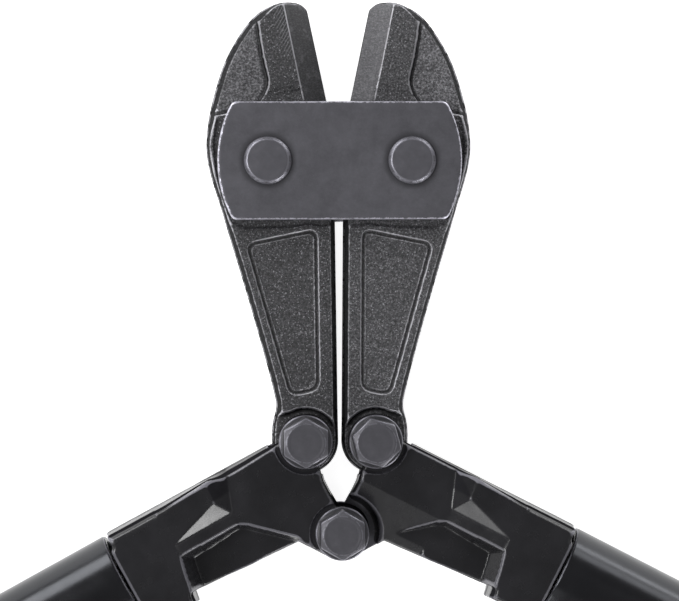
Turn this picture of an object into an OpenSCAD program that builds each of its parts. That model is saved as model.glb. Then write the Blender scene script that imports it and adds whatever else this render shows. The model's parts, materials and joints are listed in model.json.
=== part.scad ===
// Bolt cutters with forged jaws, two fishplates, forged handle heads and tube handles.
// The tool lies flat with its jaws open: jaws toward +Y, thickness along Z.
// Origin: on the centre bolt's axis, at the plane on which the tool lies.

/* [Overall] */
// Length from the jaw tips to the grip ends with the handles closed
closed_length = 606; // [500:2:760]
// How far each jaw swings open from the middle line, in degrees
jaw_open = 11.6; // [8:0.1:12.4]
// How far both handles lean to one side in their joints, in degrees
handle_sway = 0.6; // [-1:0.1:1]

/* [Jaws] */
// Distance between the two jaw rivets
rivet_spacing = 42.7; // [38:0.1:52]
// Distance from the rivet to the link bolt
jaw_arm = 84; // [68:0.5:104]
// Distance from the rivet to the tip
blade_length = 45.8; // [38:0.2:58]
// Thickness of the jaw forging
jaw_thickness = 13; // [11:0.5:16]
// Width of the ground bevel beside the cutting edge
bevel_width = 6.8; // [5:0.1:9]
// Width of the flat left on the cutting edge
edge_flat = 0.6; // [0.4:0.1:1.2]
// Gap left between the middle line and a closed cutting edge
edge_gap = 0.15; // [0.1:0.05:0.4]
// Depth of the panel beside the blade below the blade's face
blade_step = 1.3; // [0.5:0.1:2]
// Depth of the machined seat under a fishplate
seat_depth = 0.5; // [0.3:0.1:1]
// Depth of the panel sunk into the tail
tail_panel_depth = 0.9; // [0.4:0.1:1.5]
// Width of the rail between the tail's inner edge and its panel
inner_rail = 6.1; // [4:0.2:8]
// Width of the rail between the tail's outer edge and its panel
outer_rail = 5; // [3:0.2:7]
// Distance between the link bolts with the jaws open
link_spacing = 20.8; // [18.6:0.1:26]
// Radius of the tongue's end around the link bolt
tongue_radius = 9.9; // [9:0.1:10.2]
// Radius that the tail's outer side keeps around the link bolt
tail_flare_radius = 10.8; // [10:0.1:12]
// How far the tail's machined pocket reaches past the ear that turns in it
pocket_margin = 1.1; // [0.6:0.1:1.6]

/* [Fishplates] */
// Width across the arched sides
plate_width = 72.4; // [64:0.5:88]
// Height of the plate along the tool
plate_height = 35; // [28:0.2:40]
// Thickness of each plate
plate_thickness = 5; // [4:0.25:7]
// Radius of the four small corners
plate_corner = 2.4; // [0.5:0.1:4]

/* [Rivets] */
// Diameter of the rivet in the jaw
rivet_diameter = 12; // [10:0.5:14]
// Diameter of the rivet's head
rivet_head = 14.1; // [12.5:0.1:17]
// Height of the rivet's head above the plate
rivet_rise = 1.4; // [0.8:0.1:2.5]
// Width of the chamfer on the rivet's head
rivet_chamfer = 0.9; // [0.3:0.1:1.2]

/* [Handle heads] */
// Distance from the link bolt to the centre bolt
link_arm = 29.2; // [25:0.2:36]
// Angle between the tube and the line through the two bolts of a head, in degrees
head_angle = 83.1; // [78:0.1:88]
// Distance along the tube from the link bolt to the collar's end
head_reach = 65.6; // [60:0.2:80]
// How far the head's back edge lies behind the link bolt
head_rise = 4.3; // [3:0.1:6]
// Radius of the ears around the bolts
ear_radius = 8.6; // [7.8:0.1:10]
// Thickness of each ear beside the jaw's tongue
ear_thickness = 5; // [4:0.25:7]
// Thickness of the tongue at the end of the jaw
tongue_thickness = 8; // [6:0.25:10]
// Width of the collar that carries the tube
collar_width = 31; // [29:0.5:38]
// Thickness of the collar
collar_thickness = 29; // [26:0.5:36]
// Length of the collar along the tube
collar_length = 16; // [12:0.5:24]
// Thickness of the sunk panel in the web
web_panel = 11; // [8:0.5:16]
// Depth of the round seats under the bolt flanges
spot_depth = 0.8; // [0.2:0.1:1.4]
// Radius of the round seats under the bolt flanges
spot_radius = 9.3; // [8.8:0.1:10.5]

/* [Bolts] */
// Diameter of the bolts
bolt_diameter = 8; // [6:0.5:9]
// Width across the flats of the heads and nuts
hex_flats = 13; // [10:0.5:14]
// Height of the hexagon
hex_height = 5.4; // [4:0.2:7]
// Diameter of the round flange and of the washers
flange_diameter = 16; // [15:0.2:18]
// Thickness of the flange
flange_thickness = 1.2; // [0.8:0.1:2]
// Thickness of the washers
washer_thickness = 1.6; // [1:0.1:2.5]
// Height of the lock nuts
nut_height = 7.2; // [6:0.2:9]
// Height of the lock nut's round collar
nut_collar = 1.4; // [0.6:0.1:2.4]
// How far the bolt stands out of its nut
bolt_end = 1.6; // [0.5:0.1:4]
// Turn of the right link bolt's hexagon, in degrees
right_hex_turn = 15; // [0:1:30]

/* [Handles] */
// Outer diameter of the tubes
tube_diameter = 28; // [24:0.5:30]
// Wall of the tubes
tube_wall = 2; // [1.5:0.1:3]
// Gap between the collar and the tube's end
tube_gap = 0.7; // [0.3:0.1:2]
// Length of the head's spigot inside the tube
spigot_length = 58; // [30:1:90]
// Diameter of the cross pin
pin_diameter = 6; // [4:0.5:8]
// Distance from the collar to the cross pin
pin_distance = 30; // [18:1:50]
// Length of the rubber grip
grip_length = 150; // [100:5:220]
// Diameter of the grip's sleeve
grip_diameter = 34; // [31:0.5:40]
// Number of ribs on the grip
grip_ribs = 9; // [3:1:14]
// Height of the ribs and of the collar on the grip
rib_height = 1.2; // [0.6:0.1:2]
// Length of the collar at the grip's upper end
grip_collar = 5; // [3:0.5:10]
// Length of the end cap outside the tube
cap_length = 14; // [8:0.5:24]
// Length of the end cap's plug inside the tube
plug_length = 18; // [10:0.5:30]

/* [Clearances] */
// Radial clearance of a pin or bolt in its bore
running_clearance = 0.05; // [0.02:0.01:0.1]
// Side clearance between flat faces that slide
face_clearance = 0.12; // [0.05:0.01:0.3]
// Radial room of the right head on the centre bolt
centre_slack = 2.4; // [0.1:0.1:2.8]
// Room between a tail or ear and the pocket it turns in
pocket_clearance = 0.4; // [0.3:0.1:1]
// Radial clearance of parts that are pressed, screwed or pushed together
push_clearance = 0.02; // [0.01:0.01:0.05]

/* [Hidden] */
$fn = 96;

// Heights above and below the tool's middle plane
jaw_half = jaw_thickness / 2;
seat_half = jaw_half - seat_depth;
plate_inner = seat_half + face_clearance;
plate_outer = plate_inner + plate_thickness;
tongue_half = tongue_thickness / 2;
ear_inner = tongue_half + face_clearance;
ear_outer = ear_inner + ear_thickness;
web_half = ear_outer + spot_depth;
collar_half = collar_thickness / 2;
nut_top = ear_outer + washer_thickness + nut_height;
mid_height = nut_top + bolt_end;
shank_radius = bolt_diameter / 2;
cap_radius = mid_height;

// Plan of the linkage, with the origin midway between the rivets
rivet_x = -rivet_spacing / 2;
tail_lean = asin((rivet_spacing - link_spacing) / 2 / jaw_arm);
tail_flare = jaw_open - tail_lean;
rivet_at = [rivet_x, 0];
link_closed = rivet_at + jaw_arm * [-sin(tail_flare), -cos(tail_flare)];
link_open = rivet_at + jaw_arm * [sin(tail_lean), -cos(tail_lean)];
link_drop = acos(link_spacing / 2 / link_arm);
left_turn = -link_drop - head_angle + handle_sway;
right_turn = -link_drop - head_angle - handle_sway;
centre_in_head = link_arm * [cos(head_angle), sin(head_angle)];
centre_pivot = link_open + link_arm * [cos(link_drop - handle_sway), -sin(link_drop - handle_sway)];

// Plan of a head: the tube runs along +X and the centre bolt lies on the +Y side
axis_y = collar_width / 2 - head_rise;
collar_start = head_reach - collar_length;
fork_radius = tail_flare_radius + pocket_clearance;
lap_radius = ear_radius + centre_slack + pocket_clearance;
jaw_pocket_radius = ear_radius + pocket_margin;
heel_pocket_radius = fork_radius + 0.6;
heel_pocket_offset = [-3.5, -2.5];
web_heel = centre_in_head + [12.7, -3.4];
border_start = collar_start - 1.6;
shoulder_low = [29, 7.8];
shoulder_top = [32.2, 2.2];
shoulder_start = 24.6;
lap_slope_start = axis_y + 0.7;
lap_slope_angle = 24;
lap_slope_reach = 27.5;

// Lengths along the handle, measured from the link bolt
cap_gap = 0.3;
closed_drop = acos(min(1, -link_closed[0] / link_arm));
closed_lean = head_angle + closed_drop - 90;
closed_tip = blade_length - link_closed[1];
handle_end = (closed_length - closed_tip - (axis_y + cap_radius) * sin(closed_lean)) / cos(closed_lean);
tube_start = head_reach + tube_gap;
plug_radius = tube_diameter / 2 - tube_wall - push_clearance;
tube_end = handle_end - cap_length;
grip_end = tube_end - cap_gap;
tube_bore = tube_diameter / 2 - tube_wall;
rib_pitch = grip_length / (grip_ribs + 1);
rib_share = 0.6;

// Places on a jaw: the tail's inner edge runs beside the middle line when the jaw is open
blade_scale = blade_length / 45.4;
tail_scale = jaw_arm / 84;
bevel_start = 12;
edge_lean = 0.2;

// Helpers for outlines

function unit(v) = v / norm(v);

// One corner as a short curve that starts and ends at distance d from the corner
function corner(a, p, b, d, steps) =
    d <= 0 ? [p] :
    let (
        reach = min(d, norm(a - p) / 2, norm(b - p) / 2),
        from = p + unit(a - p) * reach,
        to = p + unit(b - p) * reach
    )
    [for (i = [0 : steps]) let (s = i / steps)
        (1 - s) * (1 - s) * from + 2 * s * (1 - s) * p + s * s * to];

// Outline through [x, y, d] corners, each rounded over the distance d
function rounded(corners, steps = 5) =
    let (n = len(corners))
    [for (i = [0 : n - 1])
        let (
            a = corners[(i + n - 1) % n],
            p = corners[i],
            b = corners[(i + 1) % n]
        )
        each corner([a[0], a[1]], [p[0], p[1]], [b[0], b[1]], p[2], steps)];

function turned_by(p, angle) =
    [p[0] * cos(angle) - p[1] * sin(angle), p[0] * sin(angle) + p[1] * cos(angle)];

// A place on the closed jaw, given as it lies with the jaw open
function from_open(x, y) = rivet_at + turned_by([x, y] - rivet_at, -jaw_open);

function beside_rivet(x, y, d = 0) = [rivet_x + x, y * (y > 0 ? blade_scale : tail_scale), d];

// A place beside the line from the rivet to the link bolt
function beside_tail(offset, part, d = 0) =
    let (p = rivet_at + part * (link_closed - rivet_at))
    [p[0] + offset, p[1], d];

module slab(points, half) {
    translate([0, 0, -half])
        linear_extrude(2 * half)
            polygon(points);
}

module disc(radius, low, high, at = [0, 0]) {
    translate([at[0], at[1], low])
        cylinder(r = radius, h = high - low);
}

// Copies what is drawn above the middle plane to below it
module both_faces() {
    children();
    mirror([0, 0, 1]) children();
}

// Lays the tool down with the centre bolt at the origin
module lay_down() {
    translate([-centre_pivot[0], -centre_pivot[1], mid_height]) children();
}

// Turns a forging over, so that the left one becomes the right one
module turn_over() {
    rotate([0, 180, 0]) children();
}

module open_jaw() {
    translate(rivet_at) rotate(jaw_open) translate(-rivet_at) children();
}

module at_left_link() {
    translate(link_open) rotate(left_turn) children();
}

module at_right_link() {
    translate(link_open) rotate(right_turn) children();
}

// Jaws

inner_top = from_open(-1.2, -20);
inner_end = from_open(-0.6, link_open[1] + 5);

function jaw_outline() = rounded([
    [-edge_gap, 6, 3],
    [-edge_gap, 13, 0],
    [-edge_gap - edge_lean, blade_length - 3.4, 0.6],
    [-2.3, blade_length - 1.1, 1.4],
    [-7.4, blade_length + 0.5, 4],
    beside_rivet(5.9, 44.1, 6),
    beside_rivet(-0.3, 38.9, 6),
    beside_rivet(-6.4, 31.9, 6),
    beside_rivet(-10.8, 24.2, 6),
    beside_rivet(-14.9, 15.6, 6),
    beside_rivet(-17.5, 6.5, 6),
    beside_rivet(-17.4, -2, 6),
    beside_rivet(-16.4, -10, 6),
    beside_tail(-14.5, 0.22, 8),
    beside_tail(-12, 0.4, 8),
    beside_tail(-9.5, 0.6, 8),
    beside_tail(-7.7, 0.76, 5),
    beside_tail(-6.9, 0.86, 4),
    beside_tail(-8.9, 0.91, 3),
    beside_tail(-10, 0.975, 3),
    beside_tail(-8.8, 1.02, 0),
    beside_tail(0, 1, 0),
    [inner_end[0], inner_end[1], 0],
    [inner_top[0], inner_top[1], 2],
    [-edge_gap - 0.6, 2, 3]
]);

// Plan of a fishplate: arched sides and straight ends
module plate_plan(grow) {
    intersection() {
        circle(r = plate_width / 2 + grow);
        square([plate_width + 2 * grow, plate_height + 2 * grow], center = true);
    }
}

// Room for the plate in the jaw's face over the jaw's whole swing
module jaw_seat_cut() {
    translate([rivet_x, 0, seat_half])
        linear_extrude(jaw_half)
            hull()
                for (part = [0, 0.5, 1])
                    rotate(-jaw_open * part)
                        translate([-rivet_x, 0])
                            plate_plan(0.6);
}

function blade_panel_outline() =
    let (top = plate_height / 2)
    [
        [-15.6, blade_length + 2],
        [-15.9, blade_length - 6],
        [-16.4, blade_length - 15],
        [-16.2, top + 6.5],
        [-16.8, top + 4.2],
        [-18, top + 2.3],
        [-19.8, top + 0.6],
        [-21, top - 1],
        [rivet_x - 30, top - 1],
        [rivet_x - 30, blade_length + 2]
    ];

function outer_edge(part) = beside_tail(lookup(part, [[0.24, -14.6], [0.5, -11.2], [0.82, -7.4]]), part);

function inner_edge(y) =
    inner_top + (inner_end - inner_top) * ((y - inner_top[1]) / (inner_end[1] - inner_top[1]));

function tail_panel_outline() =
    let (
        top = beside_tail(0, 0.275)[1],
        low = beside_tail(0, 0.825)[1]
    )
    rounded([
        [outer_edge(0.275)[0] + outer_rail, top, 2.6],
        [outer_edge(0.825)[0] + outer_rail, low, 2.6],
        [inner_edge(low)[0] - inner_rail, low, 2.6],
        [inner_edge(top)[0] - inner_rail, top, 2.6]
    ]);

module bevel_cut() {
    translate([0, blade_length + 4, 0])
        rotate([90, 0, 0])
            linear_extrude(blade_length + 4 - bevel_start)
                polygon([
                    [-edge_gap - edge_lean, edge_flat / 2],
                    [-edge_gap - edge_lean - bevel_width, jaw_half],
                    [-edge_gap - edge_lean - bevel_width, jaw_half + 1],
                    [2, jaw_half + 1],
                    [2, edge_flat / 2]
                ]);
}

// The tongue's end, with its inner side drawn straight on from the tail's inner edge
module tongue_plan() {
    hull() {
        translate(link_closed) circle(r = tongue_radius);
        polygon([
            inner_end,
            link_closed,
            inner_edge(inner_end[1] + 2)
        ]);
    }
}

module jaw() {
    difference() {
        union() {
            difference() {
                slab(jaw_outline(), jaw_half);
                both_faces() {
                    bevel_cut();
                    jaw_seat_cut();
                    translate([0, 0, jaw_half - blade_step])
                        linear_extrude(jaw_half)
                            polygon(blade_panel_outline());
                    translate([0, 0, jaw_half - tail_panel_depth])
                        linear_extrude(jaw_half)
                            polygon(tail_panel_outline());
                    disc(jaw_pocket_radius, tongue_half, jaw_half + 1, link_closed);
                    disc(heel_pocket_radius, tongue_half, jaw_half + 1, link_closed + heel_pocket_offset);
                }
            }
            translate([0, 0, -tongue_half])
                linear_extrude(tongue_thickness)
                    tongue_plan();
        }
        disc(rivet_diameter / 2 + running_clearance, -jaw_thickness, jaw_thickness, rivet_at);
        disc(shank_radius + running_clearance, -jaw_thickness, jaw_thickness, link_closed);
    }
}

module left_jaw() {
    color("#3b3a3b") lay_down() open_jaw() jaw();
}

module right_jaw() {
    color("#3b3a3b") lay_down() turn_over() open_jaw() jaw();
}

// Fishplates and their rivets

// One arched side from its lower to its upper corner, side = 1 on the right
function plate_side(side) =
    let (
        radius = plate_width / 2,
        reach = asin(plate_height / 2 / radius),
        steps = 12
    )
    [for (i = [0 : steps])
        let (angle = side * reach * (2 * i / steps - 1))
        [side * radius * cos(angle), radius * sin(angle), i == 0 || i == steps ? plate_corner : 0]];

module fishplate() {
    translate([0, 0, plate_inner])
        difference() {
            linear_extrude(plate_thickness)
                polygon(rounded([each plate_side(1), each plate_side(-1)]));
            for (side = [-1, 1])
                disc(rivet_diameter / 2 + push_clearance, -1, plate_thickness + 1, [side * rivet_x, 0]);
        }
}

module front_fishplate() {
    color("#4c4b4e") lay_down() fishplate();
}

module rear_fishplate() {
    color("#4c4b4e") lay_down() turn_over() fishplate();
}

module rivet() {
    top = plate_outer + rivet_rise;
    rotate_extrude()
        polygon([
            [0, -top],
            [rivet_head / 2 - rivet_chamfer, -top],
            [rivet_head / 2, -top + rivet_chamfer],
            [rivet_head / 2, -plate_outer],
            [rivet_diameter / 2, -plate_outer],
            [rivet_diameter / 2, plate_outer],
            [rivet_head / 2, plate_outer],
            [rivet_head / 2, top - rivet_chamfer],
            [rivet_head / 2 - rivet_chamfer, top],
            [0, top]
        ]);
}

module left_jaw_rivet() {
    color("#545356") lay_down() translate([rivet_x, 0, 0]) rivet();
}

module right_jaw_rivet() {
    color("#545356") lay_down() translate([-rivet_x, 0, 0]) rivet();
}

// Handle heads

// Upper edge of the sunk panel, from the collar to the centre bolt's ear
function panel_border() = [
    [border_start, axis_y + 1.5],
    [border_start - 2, axis_y + 0.8],
    [32, lap_slope_start],
    [29.3, axis_y + 0.9],
    [27, axis_y + 2.2],
    web_heel - [0.6, 1.6]
];

function web_outline() = [
    [3, -head_rise],
    [collar_start + 2, -head_rise],
    [collar_start + 2, axis_y + 1.5],
    each panel_border(),
    web_heel,
    centre_in_head + ear_radius * [cos(35), sin(35)],
    centre_in_head,
    [0.4, centre_in_head[1] - 6.7],
    [0.6, 16.5],
    [0.5, 13],
    [-0.4, 9.5],
    [0, 0]
];

function panel_outline() = [
    [22, 8],
    [collar_start + 2, 8],
    [collar_start + 2, centre_in_head[1] - 5.5],
    web_heel,
    web_heel - [4, 0],
    web_heel - [4, 6]
];

// Section of the collar and shoulder, across the tube
module collar_section() {
    r = 3;
    hull()
        for (y = [r - head_rise, collar_width - head_rise - r], z = [r - collar_half, collar_half - r])
            translate([y, z]) circle(r = r, $fn = 24);
}

module collar() {
    intersection() {
        translate([border_start - 1, 0, 0])
            rotate([90, 0, 90])
                linear_extrude(head_reach - border_start + 1)
                    collar_section();
        slab([
            [border_start, -head_rise - 1],
            [head_reach, -head_rise - 1],
            [head_reach, collar_width],
            [collar_start + 1.5, collar_width],
            [border_start + 1, axis_y + 6],
            [border_start, axis_y + 1.5]
        ], collar_half);
    }
}

// Part of the shoulder with flat facets between the web's face and the collar's face
module shoulder() {
    low = web_half;
    rise = collar_half - web_half;
    step_points = [
        [shoulder_start, -head_rise, low],
        [border_start + 1, -head_rise, low],
        [border_start + 1, shoulder_low[1], low],
        [shoulder_low[0], shoulder_low[1], low],
        [31.6, -head_rise + 0.4, low + rise],
        [border_start + 1, -head_rise + 0.4, low + rise],
        [border_start + 1, shoulder_low[1], low + rise],
        [shoulder_top[0], shoulder_top[1], low + rise],
        [shoulder_start, -head_rise, 0],
        [border_start + 1, -head_rise, 0],
        [border_start + 1, shoulder_low[1], 0],
        [shoulder_low[0], shoulder_low[1], 0]
    ];
    polyhedron(step_points, [
        [8, 9, 10, 11],
        [4, 7, 6, 5],
        [0, 4, 5, 1],
        [1, 5, 6, 2],
        [3, 6, 7],
        [2, 6, 3],
        [0, 3, 7], [0, 7, 4],
        [8, 0, 1, 9],
        [9, 1, 2, 10],
        [10, 2, 3, 11],
        [11, 3, 0, 8]
    ]);
    rotate([90, 0, 0])
        translate([0, 0, -lap_slope_start])
            linear_extrude(lap_slope_start - shoulder_low[1])
                polygon([
                    [shoulder_low[0], 0],
                    [shoulder_low[0], low],
                    [border_start + 1, low + rise],
                    [border_start + 1, 0]
                ]);
}

// Slope on the face that faces away from the centre ear
module lap_slope_cut() {
    translate([-collar_start, lap_slope_start, web_half])
        rotate([-lap_slope_angle, 0, 0])
            cube([collar_start + lap_slope_reach, link_arm, collar_half]);
}

module pin_hole() {
    disc(pin_diameter / 2 + push_clearance, -tube_diameter, tube_diameter,
        [head_reach + pin_distance, axis_y]);
}

// The centre bolt has the given radial room in its hole and in its spot face
module handle_head(centre_room) {
    difference() {
        union() {
            difference() {
                union() {
                    slab(web_outline(), web_half);
                    slab(panel_outline(), web_panel / 2);
                }
                mirror([0, 0, 1]) lap_slope_cut();
                both_faces() {
                    disc(spot_radius, ear_outer, collar_half);
                    disc(spot_radius + centre_room, ear_outer, collar_half, centre_in_head);
                }
                disc(lap_radius, -collar_half, face_clearance / 2, centre_in_head);
            }
            disc(ear_radius, -ear_outer, ear_outer);
            disc(ear_radius, face_clearance / 2, ear_outer, centre_in_head);
            collar();
            both_faces() shoulder();
            translate([head_reach - 1, axis_y, 0])
                rotate([0, 90, 0])
                    cylinder(r = tube_bore - running_clearance, h = spigot_length + 1);
        }
        disc(fork_radius, -ear_inner, ear_inner);
        disc(shank_radius + push_clearance, -collar_half, collar_half);
        disc(shank_radius + centre_room, -collar_half, collar_half, centre_in_head);
        pin_hole();
    }
}

module left_handle_head() {
    color("#1d1d1f") lay_down() at_left_link()
        handle_head(push_clearance);
}

module right_handle_head() {
    color("#1d1d1f") lay_down() turn_over() at_right_link()
        handle_head(centre_slack);
}

// Bolts, washers and nuts

module hexagon(height) {
    intersection() {
        cylinder(r = hex_flats / sqrt(3), h = height, $fn = 6);
        rotate_extrude()
            polygon([
                [0, 0],
                [hex_flats / sqrt(3) + 0.1, 0],
                [hex_flats / sqrt(3) + 0.1, height - 0.95],
                [hex_flats / 2 - 0.7, height],
                [0, height]
            ]);
    }
}

module bolt(hex_turn) {
    disc(shank_radius, -mid_height, ear_outer);
    disc(flange_diameter / 2, ear_outer, ear_outer + flange_thickness);
    translate([0, 0, ear_outer + flange_thickness]) rotate(hex_turn) hexagon(hex_height);
}

module washer() {
    difference() {
        disc(flange_diameter / 2, -ear_outer - washer_thickness, -ear_outer);
        disc(shank_radius + running_clearance, -collar_half, 0);
    }
}

module nut() {
    difference() {
        translate([0, 0, -ear_outer - washer_thickness]) mirror([0, 0, 1]) {
            hexagon(nut_height - nut_collar);
            cylinder(r = hex_flats / 2 - 0.8, h = nut_height);
        }
        disc(shank_radius + push_clearance, -mid_height, 0);
    }
}

module on_left_link() {
    lay_down() translate(link_open) children();
}

module on_right_link() {
    lay_down() translate([-link_open[0], link_open[1]]) children();
}

module on_centre() {
    translate([0, 0, mid_height]) children();
}

module left_link_bolt() {
    color("#47464a") on_left_link() bolt(30);
}

module right_link_bolt() {
    color("#47464a") on_right_link() bolt(30 + right_hex_turn);
}

module centre_bolt() {
    color("#47464a") on_centre() bolt(30);
}

module left_link_washer() {
    color("#55545a") on_left_link() washer();
}

module right_link_washer() {
    color("#55545a") on_right_link() washer();
}

module centre_washer() {
    color("#55545a") on_centre() washer();
}

module left_link_nut() {
    color("#47464a") on_left_link() nut();
}

module right_link_nut() {
    color("#47464a") on_right_link() nut();
}

module centre_nut() {
    color("#47464a") on_centre() nut();
}

// Tubes, pins, grips and end caps: drawn along the tube's axis

module along_axis(start) {
    translate([start, axis_y, 0]) rotate([0, 90, 0]) children();
}

module ring(outer, inner, length) {
    difference() {
        cylinder(r = outer, h = length);
        translate([0, 0, -1]) cylinder(r = inner, h = length + 2);
    }
}

module tube() {
    difference() {
        along_axis(tube_start)
            ring(tube_diameter / 2, tube_bore, tube_end - tube_start);
        pin_hole();
    }
}

module tube_pin() {
    translate([head_reach + pin_distance, axis_y, 0])
        cylinder(r = pin_diameter / 2, h = tube_diameter - 0.8, center = true);
}

module grip() {
    along_axis(grip_end - grip_length)
        difference() {
            union() {
                cylinder(r = grip_diameter / 2 - rib_height, h = grip_length);
                cylinder(r = grip_diameter / 2 + rib_height, h = grip_collar);
                for (i = [1 : grip_ribs])
                    translate([0, 0, i * rib_pitch])
                        cylinder(r = grip_diameter / 2, h = rib_pitch * rib_share);
            }
            translate([0, 0, -1])
                cylinder(r = tube_diameter / 2 + push_clearance, h = grip_length + 2);
        }
}

module end_cap() {
    along_axis(tube_end)
        rotate_extrude()
            polygon([
                [0, -plug_length],
                [plug_radius - 1.5, -plug_length],
                [plug_radius, 2 - plug_length],
                [plug_radius, 0],
                [cap_radius - 1.5, 0],
                [cap_radius, 1.5],
                [cap_radius, cap_length - 4],
                [cap_radius - 1.3, cap_length - 1.3],
                [cap_radius - 4, cap_length],
                [0, cap_length]
            ]);
}

module left_tube() {
    color("#101012") lay_down() at_left_link() tube();
}

module right_tube() {
    color("#101012") lay_down() turn_over() at_right_link() tube();
}

module left_tube_pin() {
    color("#1a1a1c") lay_down() at_left_link() tube_pin();
}

module right_tube_pin() {
    color("#1a1a1c") lay_down() turn_over() at_right_link() tube_pin();
}

module left_grip() {
    color("#1b1b1b") lay_down() at_left_link() grip();
}

module right_grip() {
    color("#1b1b1b") lay_down() turn_over() at_right_link() grip();
}

module left_end_cap() {
    color("#141414") lay_down() at_left_link() end_cap();
}

module right_end_cap() {
    color("#141414") lay_down() turn_over() at_right_link() end_cap();
}

front_fishplate();
rear_fishplate();
left_jaw_rivet();
right_jaw_rivet();
left_jaw();
right_jaw();
left_handle_head();
right_handle_head();
left_link_bolt();
right_link_bolt();
centre_bolt();
left_link_washer();
right_link_washer();
centre_washer();
left_link_nut();
right_link_nut();
centre_nut();
left_tube();
right_tube();
left_tube_pin();
right_tube_pin();
left_grip();
right_grip();
left_end_cap();
right_end_cap();
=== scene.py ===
"""Looks of the bolt cutters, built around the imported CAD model."""

import json
import math
from functools import partialmethod

import bpy
import numpy as np
from mathutils import Matrix, Vector


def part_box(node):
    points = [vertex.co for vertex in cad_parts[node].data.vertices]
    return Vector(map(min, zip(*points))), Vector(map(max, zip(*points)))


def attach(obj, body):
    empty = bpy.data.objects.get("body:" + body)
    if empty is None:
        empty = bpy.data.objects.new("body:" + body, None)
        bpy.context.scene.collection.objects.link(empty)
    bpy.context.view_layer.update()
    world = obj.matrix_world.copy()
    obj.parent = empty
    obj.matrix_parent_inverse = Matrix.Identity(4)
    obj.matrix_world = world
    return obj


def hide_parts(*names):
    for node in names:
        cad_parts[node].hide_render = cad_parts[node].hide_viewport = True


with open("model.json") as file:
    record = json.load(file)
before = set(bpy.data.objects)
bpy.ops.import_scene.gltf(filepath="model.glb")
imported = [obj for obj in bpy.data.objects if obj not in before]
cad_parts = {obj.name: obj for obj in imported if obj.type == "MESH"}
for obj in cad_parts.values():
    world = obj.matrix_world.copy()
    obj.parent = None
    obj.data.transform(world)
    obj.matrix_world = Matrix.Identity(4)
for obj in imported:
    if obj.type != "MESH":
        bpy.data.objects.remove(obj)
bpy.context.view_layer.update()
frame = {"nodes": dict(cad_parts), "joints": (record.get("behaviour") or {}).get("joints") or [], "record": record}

# -------- places from the frame, in mm

JOINTS = {joint["name"]: joint for joint in frame["joints"]}
SIDES = ("left", "right")
BODY_OF = {node: body for body, nodes in frame["record"]["behaviour"]["bodies"].items() for node in nodes}


def joint_place(name):
    return np.array(JOINTS[name]["pos_m"]) * 1000


def box_mm(node):
    low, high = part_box(node)
    return np.array(low) * 1000, np.array(high) * 1000


def middle(node):
    return sum(box_mm(node)) / 2


def half_size(node):
    low, high = box_mm(node)
    return (high - low) / 2


MID = joint_place("left_jaw_pivot")[2]
RIVETS = [joint_place(side + "_jaw_pivot") for side in SIDES]
LINKS = [joint_place(side + "_handle_fold") for side in SIDES]
JAW_OPEN = -JOINTS["left_jaw_pivot"]["range_deg"][0]
PLATE_MIDDLE = (RIVETS[0] + RIVETS[1]) / 2
FACE_CLEARANCE = 0.12  # between the jaw's seat and the plate over it
BOLT_SEAT = 2 * MID - box_mm("centre_washer")[1][2]
SEAT_HALF = box_mm("front_fishplate")[0][2] - MID - FACE_CLEARANCE
RIVET_X = float(RIVETS[1][0] - PLATE_MIDDLE[0])


def turned(degrees):
    """Matrix that turns by so many degrees about the vertical"""
    return np.array(Matrix.Rotation(math.radians(degrees), 4, "Z"))


def moved(place):
    return np.array(Matrix.Translation(place))


TURN_OVER = np.diag([-1.0, 1.0, -1.0, 1.0])  # half a turn about Y, from a left forging to a right one


def jaw_place(side):
    """From a closed left jaw, with the plates' middle as its origin, to its place in the model"""
    rivet = RIVETS[0] - PLATE_MIDDLE
    opened = moved(rivet) @ turned(JAW_OPEN) @ moved(-rivet)
    flip = np.eye(4) if side == 0 else TURN_OVER
    return moved(PLATE_MIDDLE) @ flip @ opened


def head_place(side):
    """From a head with its tube along +X and the centre bolt on its +Y side to its place"""
    name = SIDES[side]
    along = middle(name + "_end_cap") - middle(name + "_tube_pin")
    angle = math.degrees(math.atan2(along[1], along[0]))
    if side == 0:
        return moved(LINKS[0]) @ turned(angle)
    return moved(LINKS[1]) @ TURN_OVER @ turned(180 - angle)


def put(matrix, points):
    return points @ matrix[:3, :3].T + matrix[:3, 3]


# -------- reading the CAD nodes

def triangles(node, place):
    """Corners of a node's triangles in mm, in the own frame of a piece with this place"""
    mesh = frame["nodes"][node].data
    mesh.calc_loop_triangles()
    points = np.empty(len(mesh.vertices) * 3)
    mesh.vertices.foreach_get("co", points)
    corners = np.empty(len(mesh.loop_triangles) * 3, np.int32)
    mesh.loop_triangles.foreach_get("vertices", corners)
    points = put(np.linalg.inv(place), points.reshape(-1, 3) * 1000)
    return points[corners.reshape(-1, 3)]


def box_of(faces):
    return faces.min((0, 1)), faces.max((0, 1))


def extent(side, node):
    """Start, end and radius of a turned part along its tube"""
    faces = triangles(SIDES[side] + "_" + node, head_place(side))
    low, high = box_of(faces)
    return low[0], high[0], (high[2] - low[2]) / 2


def section(faces, height):
    """Line segments in which the faces cross a height"""
    above = faces[:, :, 2] > height
    count = above.sum(1)
    faces, above, count = (part[(count == 1) | (count == 2)] for part in (faces, above, count))
    lone = np.argmax(above == (count == 1)[:, None], axis=1)
    rows = np.arange(len(faces))
    tip = faces[rows, lone]
    ends = []
    for step in (1, 2):
        other = faces[rows, (lone + step) % 3]
        part = (height - tip[:, 2]) / (other[:, 2] - tip[:, 2])
        ends.append(tip[:, :2] + part[:, None] * (other[:, :2] - tip[:, :2]))
    segments = np.stack(ends, axis=1)
    return segments[np.linalg.norm(segments[:, 0] - segments[:, 1], axis=1) > 1e-6]


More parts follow.
